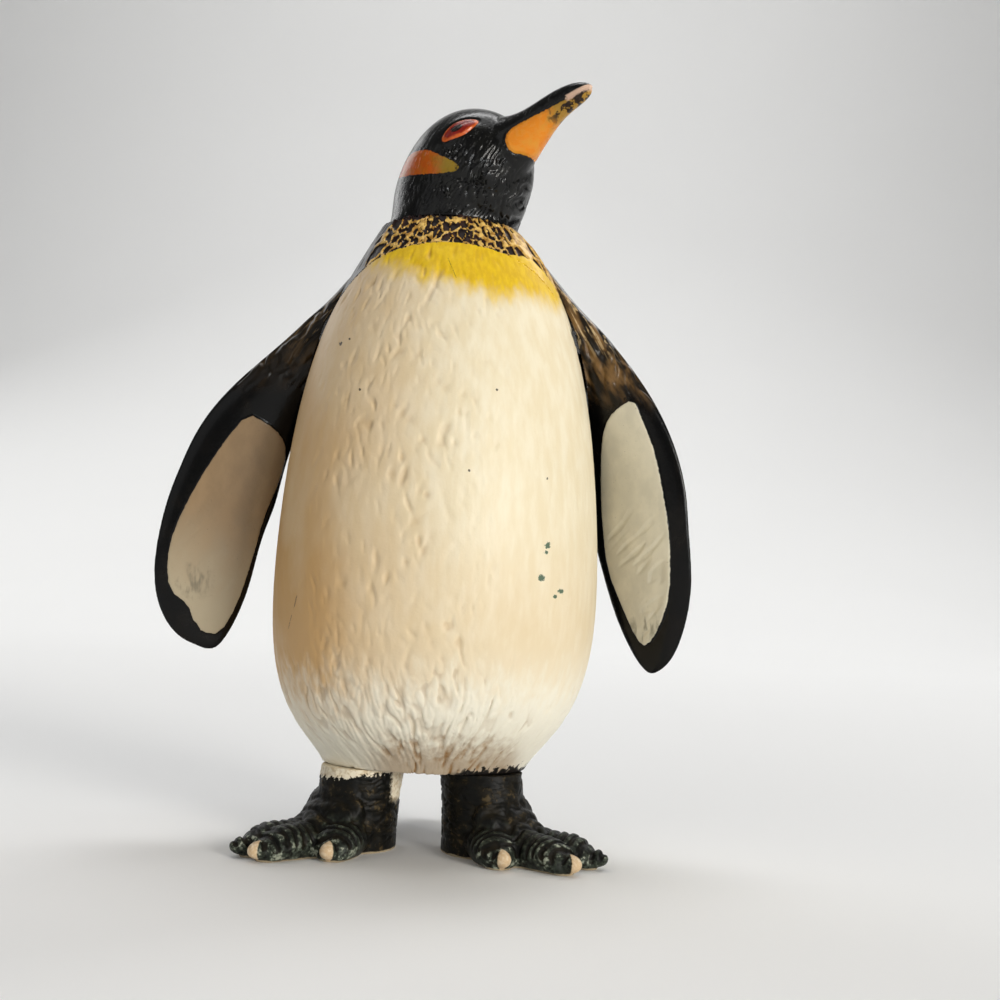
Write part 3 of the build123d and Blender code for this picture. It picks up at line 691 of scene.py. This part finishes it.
flipperLook = {
    "face": 0.17, "stretch": 1.0, "soften": 3,
    "rim": 0.17, "rimEdge": (0.10, -0.12), "frontY": 0.35, "noPatch": -3.0,
    "grooves": (4.0, 0.8, 12.0), "grooveWay": (0.6, 0.8), "grooveSoft": (0.05, 0.4),
    "grooveZ": (46, 36), "grooveEdge": (0.2, 1.2),
    "folds": (1.4, 4.5, 43.0), "foldWay": (0.86, 0.5), "foldWide": 0.4, "foldDrift": 4, "foldDepth": 0.30,
    "sways": (3, 3, 40.0), "swaySize": 0.8,
    "crumbs": (0.8, 1.3, 44.0), "crumbEdge": (0.0, 0.5), "crumbShare": 0.25, "facingY": (-0.25, -0.65),
    "feathers": (1.0, 2.6, 3.0), "featherWide": 0.3, "featherDepth": 0.10,
    "featherEdge": (-0.6, -1.4), "featherY": (-0.2, 0.5),
    "shoulderZ": (54.5, 59.5), "plainTop": (69.5, 66.5), "edgeHighlightX": (0.80, 0.97), "edgeHighlightZ": (60, 52),
    "softZ": (65.5, 70.0), "softTurns": 140, "tuckZ": (64.5, 69.5),
    "strokeZ": (60.0, 65.0), "strokeY": (4.0, 1.0), "lowZ": (36.0, 19.0), "smudgeSize": (2.8, 0.6),
    "tones": {
        "black": (0.002, 0.002, 0.002), "blackWarm": (0.005, 0.004, 0.003), "foldShade": (0.012, 0.008, 0.004),
        "edgeHighlight": (0.17, 0.155, 0.12), "grime": (0.13, 0.12, 0.085), "speck": (0.10, 0.085, 0.06),
    },
    "left": {
        "tuck": 0.7, "lean": radians(30), "grooveDepth": 0.13, "smudge": (28.4, 27.8),
        "amber": (0.20, 0.11, 0.038), "stroke": (0.50, 0.36, 0.18),
        "white": (0.66, 0.61, 0.47), "lowWhite": (0.62, 0.60, 0.49),
        "patch": rounded([(25.5, 56.4), (23.3, 55.0), (22.2, 53.2), (22.0, 50.3), (22.3, 45.0), (22.7, 40.9),
                          (23.6, 35.1), (25.7, 30.2), (27.6, 26.2), (28.8, 25.4), (30.2, 28.1), (31.1, 32.2),
                          (30.9, 37.0), (30.5, 40.9), (28.6, 49.6), (26.7, 53.9)]),
    },
    "right": {
        "tuck": -0.7, "lean": radians(-30), "grooveDepth": 0.03, "smudge": (-28.4, 31.0),
        "amber": (0.050, 0.029, 0.011), "stroke": (0.15, 0.095, 0.04),
        # this patch is the same off-white paint as on the left flipper, painted a darker tan as painted
        # shade; its lighter low end (lowWhite) is a painted highlight
        "white": (0.31, 0.21, 0.115), "lowWhite": (0.45, 0.38, 0.26),
        "patch": rounded([(-23.0, 52.4), (-20.4, 51.3), (-18.8, 50.0), (-18.1, 48.2), (-18.8, 44.4),
                          (-20.6, 39.3), (-21.7, 34.0), (-23.2, 28.2), (-25.1, 24.4), (-27.2, 24.6),
                          (-27.8, 25.6), (-28.4, 26.2), (-28.9, 27.9), (-31.4, 29.7), (-31.9, 33.4),
                          (-31.3, 37.3), (-28.7, 43.4), (-25.7, 48.7)]),
    },
}


def flipperShape(side):
    look, own = flipperLook, flipperLook[side]

    def shape(co, normal):
        out = abs(co.x)
        patch = insideBy(co.x, co.z, own["patch"]) if normal.y < look["frontY"] else look["noPatch"]
        shoulder = ease(*look["shoulderZ"], co.z)
        a, b = look["grooveWay"]
        groove = ease(*look["grooveSoft"], grain(co.x * a + co.z * b, co.x * b - co.z * a, look["grooves"]))
        depth = own["grooveDepth"] * groove * ease(*look["grooveEdge"], patch)
        depth *= ease(*look["grooveZ"], co.z)
        depth += look["rim"] * ease(*look["rimEdge"], patch)
        a, b = look["foldWay"]
        sway = out * a + co.z * b + look["swaySize"] * grain(co.x, co.z, look["sways"])
        wide, long, seed = look["folds"]
        fold = grain(sway, co.z * a - out * b, (wide, long, seed + co.y / look["foldDrift"]))
        crumb = ease(*look["crumbEdge"], grain(co.x, co.z, look["crumbs"]))
        facing = ease(*look["facingY"], normal.y)
        crumple = furrow(fold, look["foldWide"]) + look["crumbShare"] * crumb
        depth += look["foldDepth"] * shoulder * facing * crumple
        feather = furrow(cellEdge(co.x, co.z, look["feathers"]), look["featherWide"])
        feather *= ease(*look["featherEdge"], patch) * ease(*look["featherY"], normal.y)
        depth += look["featherDepth"] * (1 - shoulder) * feather
        depth *= ease(*look["plainTop"], co.z)
        # where the faces turn sideways, low on the flipper: marks a painted highlight along its side edges
        edgeHighlight = ease(*look["edgeHighlightX"], abs(normal.x)) * ease(*look["edgeHighlightZ"], co.z)
        named = {"patch": patch, "shoulder": shoulder * facing, "relief": depth, "edgeHighlight": edgeHighlight}
        return figure["skin"] + depth, named
    return shape


def flipperPaint(side):
    f = Finish(side + "FlipperPaint")
    look, own, tones = flipperLook, flipperLook[side], flipperLook["tones"]
    amber, white = own["amber"], own["white"]
    patch, shoulder, relief, edgeHighlight = [f.read(n) for n in ("patch", "shoulder", "relief", "edgeHighlight")]
    mottle = f.noise(0.42, 4.0, 0.6)
    fine = f.noise(1.9, 4.0)
    grit = f.noise(5.0, 2.0)
    black = f.blend(f.step(mottle, 0.45, 0.7), tones["black"], tones["blackWarm"])
    crumple = f.lines(own["lean"], 1.3, 4.5, 4.0)
    # dark stripes along the folds between the amber: painted shade in the folds; the amber is the shoulder's
    # own colour
    worn = f.blend(f.step(crumple, 0.42, 0.66), tones["foldShade"], amber)
    # brighter amber on the raised crests of the folds: a painted highlight; from here worn holds the amber
    # with painted fold shade and painted highlights
    crestHighlight = f.step(relief, 0.12, 0.02) * f.step(crumple, 0.58, 0.66)
    worn = f.blend(crestHighlight, worn, [2.8 * c for c in amber])
    colour = f.blend(shoulder * f.step(mottle + 0.3 * fine, 0.40, 0.6), black, worn)
    strokes = f.step(f.lines(own["lean"], 0.34, 8.0, 1.0), 0.56, 0.62) * f.step(f.z, *look["strokeZ"])
    strokes = strokes * f.step(fine, 0.3, 0.5) * f.step(f.y, *look["strokeY"])
    colour = f.blend(strokes * 0.85, colour, own["stroke"])
    # painted highlight along the flipper's side edges
    colour = f.blend(edgeHighlight * f.step(fine, 0.46, 0.58) * 0.6, colour, tones["edgeHighlight"])
    pale = f.blend(f.step(mottle, 0.35, 0.68), [0.86 * c for c in white], white)
    # the low end of the patch takes lowWhite, which on the right flipper is lighter: a painted highlight
    low = f.step(f.z + 0.25 * f.x + 5.0 * (mottle - 0.5), *look["lowZ"])
    pale = f.blend(low, pale, own["lowWhite"])
    smudge = f.step(f.near(*own["smudge"]) + 2.5 * (fine - 0.5), *look["smudgeSize"])
    grime = f.step(f.lines(0.0, 0.7, 2.6), 0.42, 0.62) * smudge
    pale = f.blend(grime * 0.6, pale, tones["grime"])
    pale = f.blend(f.step(grit, 0.72, 0.76) * 0.7, pale, tones["speck"])
    edge = f.step(patch + 0.24 * (fine - 0.5), -0.02, 0.06)
    colour = f.blend(edge, colour, pale)
    rough = 0.17 + 0.16 * mottle + 0.2 * edge + 0.12 * shoulder
    height = 0.5 * fine + 0.5 * mottle
    gloss = {"Specular_IOR_Level": 0.16, "Coat_Weight": 0.1, "Coat_Roughness": 0.08}
    return f.apply(colour, rough, height, 0.05, **gloss)


for side in ("left", "right"):
    flipper = skinOf(side + "_flipper", side + "Flipper", flipperLook)
    relax(flipper, lambda co: ease(*flipperLook["softZ"], co.z), flipperLook["softTurns"])
    for v in flipper.data.vertices:  # the thin top of the shoulder sinks into the body
        v.co.x -= flipperLook[side]["tuck"] * mm * ease(*flipperLook["tuckZ"], v.co.z / mm)
    carve(flipper, side + "_flipper", flipperShape(side))
    finishPiece(flipper, side + "_flipper", flipperPaint(side))


# feet

feetLook = {
    "face": 0.14, "stretch": 1.0, "soften": 2,
    "legRadius": 4.6, "toeLengths": (10.47, 15.4, 15.71), "toeFrom": (4.0, 7.0), "behind": 4.0,
    "waves": 1.6, "waveSize": 0.9, "ringGap": 1.15, "ringWave": 2.6, "ringDepth": 0.24,
    "cracks": (2.6, 0.8, 7.0), "crackWave": 0.6, "crackWide": 0.26,
    "ankleDepth": 0.12, "ankleZ": (0.6, 2.0), "ankleRings": 0.5,
    "scales": (1.4, 1.4, 2.0), "scaleSlant": 1.4 / 1.6, "scaleWide": 0.3, "scaleDepth": 0.05,
    "scaleZ": (0.7, 1.6), "topFacing": (-0.2, 0.4), "plainTop": (9.7, 9.2),
    "clawLong": 0.7, "clawTaper": 1.35, "clawPlain": (0.3, -0.5), "clawToes": (0, 1), "noClaw": -5.0,
    "brushZ": (5.0, 4.0), "soleZ": (0.30, 0.14),
    "skirtLow": (5.4, 6.4), "skirtTop": (9.5, 9.7), "skirtEdge": 0.4,
    "tones": {
        "black": (0.004, 0.004, 0.003), "brown": (0.013, 0.010, 0.005), "brush": (0.085, 0.105, 0.078),
        "tipBrushAndHighlight": (0.38, 0.40, 0.31), "ochreBrushAndHighlight": (0.10, 0.070, 0.030),
        "nailShade": (0.64, 0.46, 0.27), "nail": (0.78, 0.64, 0.45), "sole": (0.50, 0.40, 0.26),
        "creamShade": (0.60, 0.48, 0.31), "cream": (0.80, 0.72, 0.56),
    },
    "left": {
        "leg": Vector((8.74, -1.98)), "way": 1, "splay": 44.5, "toes": (-28.0, 0.0, 19.0), "skirtX": None,
    },
    "right": {
        "leg": Vector((-5.59, -1.98)), "way": -1, "splay": 41.0, "toes": (-28.0, 0.0, 12.0), "skirtX": -2.0,
    },
}


def footShape(side):
    look, own = feetLook, feetLook[side]
    toes = []
    for number, (length, angle) in enumerate(zip(look["toeLengths"], own["toes"])):
        turn = radians(own["way"] * (own["splay"] + angle))
        toes.append((Vector((sin(turn), -cos(turn))), length, number))

    def nearestToe(flat):  # distance from its line, distance along it, its length and its number
        found = []
        for way, length, number in toes:
            along = flat.dot(way)
            off = abs(flat.x * way.y - flat.y * way.x) + (look["behind"] if along < 0 else 0.0)
            found.append((off, along, length, number))
        return min(found, key=lambda toe: toe[0])

    def shape(co, normal):
        flat = Vector((co.x, co.y)) - own["leg"]
        off, along, length, number = nearestToe(flat)
        toe = ease(*look["toeFrom"], along)
        wave = look["waveSize"] * noise.noise(co / look["waves"])
        ring = 0.5 + 0.5 * sin(2 * pi * along / look["ringGap"] + look["ringWave"] * wave)
        roundLeg = atan2(flat.x, -flat.y) * look["legRadius"]
        level = co.z + look["crackWave"] * wave
        crack = furrow(cellEdge(roundLeg, level, look["cracks"]), look["crackWide"])
        slant = co.x + co.z * look["scaleSlant"]
        scale = furrow(cellEdge(slant, co.y, look["scales"]), look["scaleWide"])
        top = ease(*look["topFacing"], normal.z)
        claw = look["noClaw"]
        if number in look["clawToes"]:
            claw = along - (length - look["clawLong"]) - look["clawTaper"] * off
        depth = look["ringDepth"] * top * ring ** 2 + look["scaleDepth"] * scale * ease(*look["scaleZ"], co.z)
        depth *= toe * ease(*look["clawPlain"], claw)
        ankle = crack + look["ankleRings"] * ring * top
        depth += look["ankleDepth"] * (1 - toe) * ease(*look["ankleZ"], co.z) * ankle
        depth *= ease(*look["plainTop"], co.z)
        return max(depth, 0.0), {"relief": depth, "toe": along / length, "claw": claw}
    return shape


def footPaint(side):
    f = Finish(side + "FootPaint")
    look, tones, skirtX = feetLook, feetLook["tones"], feetLook[side]["skirtX"]
    relief, toe, claw = f.read("relief"), f.read("toe"), f.read("claw")
    mottle = f.noise(0.75, 4.0)
    fine = f.noise(2.2, 4.0)
    colour = f.blend(f.step(mottle, 0.4, 0.7), tones["black"], tones["brown"])
    # grey-green on the ring crests of the toes: dry-brush paint that also serves as a painted highlight on
    # the crests
    brush = f.step(toe, 0.42, 0.78) * f.step(relief, 0.12, 0.02) * f.step(fine, 0.34, 0.54)
    brush = brush * f.step(f.z, *look["brushZ"]) * (0.2 + 0.5 * f.step(mottle, 0.40, 0.6))
    colour = f.blend(brush, colour, tones["brush"])
    # brighter flecks on the crests near the toe tips: dry-brush paint and painted highlight
    tipBrushAndHighlight = f.step(toe, 0.66, 0.9) * f.step(fine + mottle, 1.06, 1.26) * f.step(relief, 0.12, 0.03)
    colour = f.blend(tipBrushAndHighlight * 0.9, colour, tones["tipBrushAndHighlight"])
    # ochre on the raised wrinkles of the ankles: dry-brush paint and painted highlight
    ochreBrushAndHighlight = f.step(mottle + fine, 1.06, 1.26) * f.step(toe, 0.7, 0.5) * f.step(relief, 0.1, 0.02) * 0.6
    colour = f.blend(ochreBrushAndHighlight, colour, tones["ochreBrushAndHighlight"])
    nail = f.blend(f.step(fine, 0.4, 0.7), tones["nailShade"], tones["nail"])
    colour = f.blend(f.step(claw + 0.4 * (fine - 0.5), 0.15, 0.4), colour, nail)
    sole = f.step(f.z + 0.4 * (mottle - 0.5), *look["soleZ"])
    colour = f.blend(sole * 0.8, colour, tones["sole"])
    if skirtX is not None:  # white paint that runs down the inner side and the outer rim of one leg
        inner = f.step(f.x + 0.9 * (fine - 0.5), skirtX, skirtX + look["skirtEdge"])
        inner = inner * f.step(f.z + 1.6 * (mottle - 0.5), *look["skirtLow"])
        outer = f.step(f.z + 1.8 * (fine - 0.5) - 0.12 * f.x, *look["skirtTop"])
        cream = f.blend(f.step(fine, 0.35, 0.6), tones["creamShade"], tones["cream"])
        colour = f.blend(f.largest(inner, outer), colour, cream)
    rough = 0.34 + 0.25 * mottle
    return f.apply(colour, rough, 0.6 * fine + 0.4 * mottle, 0.09, Specular_IOR_Level=0.15)


for side in ("left", "right"):
    foot = skinOf(side + "_foot", side + "Foot", feetLook)
    carve(foot, side + "_foot", footShape(side))
    finishPiece(foot, side + "_foot", footPaint(side))


# floor, light and camera, in metres

stageLook = {
    "half": 2.4, "back": 1.9, "wall": 2.6, "bend": 1.2, "bendSteps": 24, "near": 0.01,
    "shade": (0.83, 0.83, 0.82), "tone": (0.86, 0.86, 0.85),
}


def atBack(co):
    return co.y > stageLook["back"] - stageLook["near"]


def atCorner(co):
    return atBack(co) and co.z < stageLook["near"]


def pickEdges(piece, wanted):  # leaves edit mode on, with only these edges selected
    bpy.ops.object.mode_set(mode="EDIT")
    bpy.ops.mesh.select_mode(type="EDGE")
    bpy.ops.mesh.select_all(action="DESELECT")
    bpy.ops.object.mode_set(mode="OBJECT")
    for edge in piece.data.edges:
        edge.select = all(wanted(piece.data.vertices[i].co) for i in edge.vertices)
    bpy.ops.object.mode_set(mode="EDIT")


bpy.ops.object.select_all(action="DESELECT")
floorPlace = (0, stageLook["back"] - stageLook["half"], 0)
bpy.ops.mesh.primitive_plane_add(size=2 * stageLook["half"], location=floorPlace)
floor = bpy.context.active_object
floor.name = "floor"
bpy.ops.object.transform_apply(location=True, rotation=True, scale=True)
pickEdges(floor, atBack)
bpy.ops.mesh.extrude_region_move(TRANSFORM_OT_translate={"value": (0, 0, stageLook["wall"])})
bpy.ops.object.mode_set(mode="OBJECT")
pickEdges(floor, atCorner)
bpy.ops.mesh.bevel(offset=stageLook["bend"], segments=stageLook["bendSteps"], affect="EDGES")
bpy.ops.object.mode_set(mode="OBJECT")
bpy.ops.object.shade_smooth()
sweep = Finish("paleSweep")
cloudy = sweep.noise(0.004, 2.0)
tone = sweep.blend(cloudy, stageLook["shade"], stageLook["tone"])
floor.data.materials.append(sweep.apply(tone, 0.75 + 0.1 * cloudy))

white, warm, cool, cold = (1.0, 1.0, 1.0), (1.0, 0.97, 0.92), (0.97, 0.98, 1.0), (0.93, 0.98, 1.0)
lampLook = {
    "key": {"at": (0.68, -0.76, 0.27), "to": (0, 0, 0.045), "size": 0.32, "power": 6.6, "tint": warm},
    "glint": {"at": (0.38, -0.89, 0.06), "to": (0, 0, 0.07), "size": 0.10, "power": 1.0, "tint": cold},
    "fill": {"at": (-0.80, -0.90, 0.50), "to": (0, 0, 0.045), "size": 0.90, "power": 1.5, "tint": cool},
    "top": {"at": (0.10, 0.10, 1.30), "to": (0, 0, 0), "size": 1.00, "power": 4.4, "tint": white},
    "rim": {"at": (0.75, 0.85, 1.10), "to": (0, 0, 0.06), "size": 0.40, "power": 3.4, "tint": white},
    "rear": {"at": (-1.00, 0.95, 0.75), "to": (0, 0, 0.045), "size": 0.80, "power": 3.6, "tint": white},
    "backdrop": {"at": (0, 0.50, 1.50), "to": (0, 1.9, 0.5), "size": 1.00, "power": 13.0, "tint": white},
}
for name, lamp in lampLook.items():
    light = bpy.data.lights.new(name, "AREA")
    light.size, light.energy, light.color = lamp["size"], lamp["power"], lamp["tint"]
    holder = bpy.data.objects.new(name, light)
    bpy.context.scene.collection.objects.link(holder)
    holder.location = lamp["at"]
    holder.rotation_euler = (Vector(lamp["to"]) - Vector(lamp["at"])).to_track_quat("-Z", "Y").to_euler()

worldLook = {"Color": (0.98, 0.98, 1.0, 1.0), "Strength": 0.12}
world = bpy.data.worlds.new("studio")
bpy.context.scene.world = world
world.use_nodes = True
for name, value in worldLook.items():
    world.node_tree.nodes["Background"].inputs[name].default_value = value

cameraLook = {
    "aim": Vector((9.45, 0, 43)) * mm, "distance": 150.0 * mm, "lookUp": radians(5), "roll": radians(2.8),
    "lens": 42.84, "sensor": 36.0, "clip": (0.005, 20.0),
}
camera = bpy.data.objects.new("camera", bpy.data.cameras.new("camera"))
bpy.context.scene.collection.objects.link(camera)
camera.data.sensor_width, camera.data.lens = cameraLook["sensor"], cameraLook["lens"]
camera.data.clip_start, camera.data.clip_end = cameraLook["clip"]
ahead = Vector((0, cos(cameraLook["lookUp"]), sin(cameraLook["lookUp"])))
place = Matrix.Translation(cameraLook["aim"] - cameraLook["distance"] * ahead)
tilt = Matrix.Rotation(radians(90) + cameraLook["lookUp"], 4, "X")
camera.matrix_world = place @ tilt @ Matrix.Rotation(cameraLook["roll"], 4, "Z")
bpy.context.scene.camera = camera
bpy.context.scene.view_settings.view_transform = "Standard"
print("stage, lamps and camera set")
